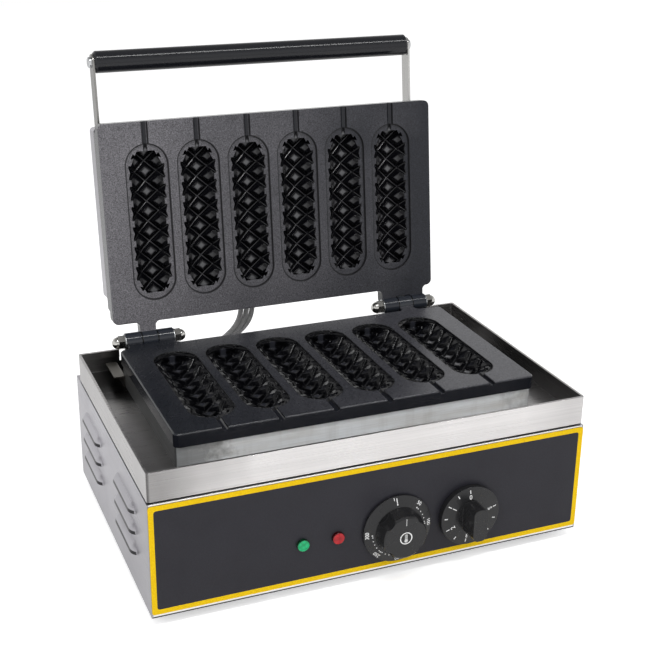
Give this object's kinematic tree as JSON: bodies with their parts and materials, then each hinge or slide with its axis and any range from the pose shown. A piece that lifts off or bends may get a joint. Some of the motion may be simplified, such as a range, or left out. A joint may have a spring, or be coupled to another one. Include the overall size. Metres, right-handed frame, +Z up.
{
  "type": "waffle stick maker",
  "caption": "Countertop electric maker for waffles on sticks: stainless body with drip tray, cast cavity plates, hinged lid with a bar handle, temperature and timer knobs.",
  "frame": {"origin": "middle of the outline seen from above, at the undersides of the rubber feet, with the lid open", "axes": "+X to the user's right along the hinge axis, +Y away from the user, +Z up"},
  "size_m": [0.44, 0.369, 0.4476],
  "materials": {
    "stainless": "brushed",
    "stained_stainless": "heat-stained, brushed",
    "zinc_steel": "plated",
    "fascia_paint": "satin charcoal",
    "stripe_yellow": "matt",
    "cast_plate": "dark non-stick coat on a casting",
    "chrome": "polished",
    "element_sheath": "oxidised",
    "fibre_pad": "ceramic fibre",
    "grip_black": "gloss",
    "knob_black": "semi-gloss",
    "lens_green": "clear gloss",
    "lens_red": "clear gloss",
    "black_rubber": "matt",
    "grey_sleeve": "woven glass-fibre sleeve",
    "wire_cover": "matt",
    "control_case": "matt",
    "probe_copper": "drawn",
    "gland_black": "matt"
  },
  "bodies": {
    "base": {"housing_shell": "stainless", "front_panel": "stainless", "front_fascia": "fascia_paint", "fascia_stripe": "stripe_yellow", "base_plate": "stainless", "body_screws": "zinc_steel", "rubber_feet": "black_rubber", "foot_screws": "zinc_steel", "foot_nuts": "zinc_steel", "drip_tray": "stainless", "tray_screws": "zinc_steel", "plate_plinth": "stained_stainless", "plinth_clip": "stainless", "lower_plate": "cast_plate", "lower_heating_element": "element_sheath", "lower_element_clamps": "zinc_steel", "lower_clamp_screws": "zinc_steel", "lower_insulation": "fibre_pad", "plate_studs": "zinc_steel", "stud_nuts": "zinc_steel", "hinge_pins": "zinc_steel", "hinge_washers": "zinc_steel", "hinge_acorn_nuts": "chrome", "thermostat_body": "control_case", "thermostat_probe": "probe_copper", "timer_body": "control_case", "control_screws": "zinc_steel", "green_lamp_lens": "lens_green", "red_lamp_lens": "lens_red", "lamp_bodies": "control_case", "terminal_block": "control_case", "terminal_screws": "zinc_steel", "base_wiring": "wire_cover", "cable_gland": "gland_black", "gland_nut": "gland_black", "rear_lead_grommet": "black_rubber", "lid_leads": "grey_sleeve"},
    "lid": {"upper_plate": "cast_plate", "upper_heating_element": "element_sheath", "upper_element_clamps": "zinc_steel", "upper_clamp_screws": "zinc_steel", "upper_insulation": "fibre_pad", "cover_standoffs": "zinc_steel", "lid_wiring": "wire_cover", "lid_cover": "stainless", "cover_screws": "zinc_steel", "lid_lead_grommet": "black_rubber", "left_handle_arm": "stainless", "right_handle_arm": "stainless", "arm_screws": "zinc_steel", "handle_grip": "grip_black", "handle_rod": "zinc_steel", "handle_screws": "zinc_steel"},
    "thermostat_control": {"thermostat_shaft": "zinc_steel", "thermostat_knob": "knob_black"},
    "timer_control": {"timer_shaft": "zinc_steel", "timer_knob": "knob_black"}
  },
  "joints": [
    {"name": "lid_hinge", "type": "hinge", "parent": "base", "child": "lid", "pos_m": [0, 0.10038, 0.16535], "axis": [1, 0, 0], "range_deg": [0, 97.1], "deforming": ["lid_leads"]},
    {"name": "thermostat_turn", "type": "hinge", "parent": "base", "child": "thermostat_control", "pos_m": [0.0185, -0.16297, 0.0527], "axis": [0, -1, 0], "range_deg": [0, 268]},
    {"name": "timer_turn", "type": "hinge", "parent": "base", "child": "timer_control", "pos_m": [0.0925, -0.16297, 0.0527], "axis": [0, 1, 0], "range_deg": [0, 285]}
  ]
}
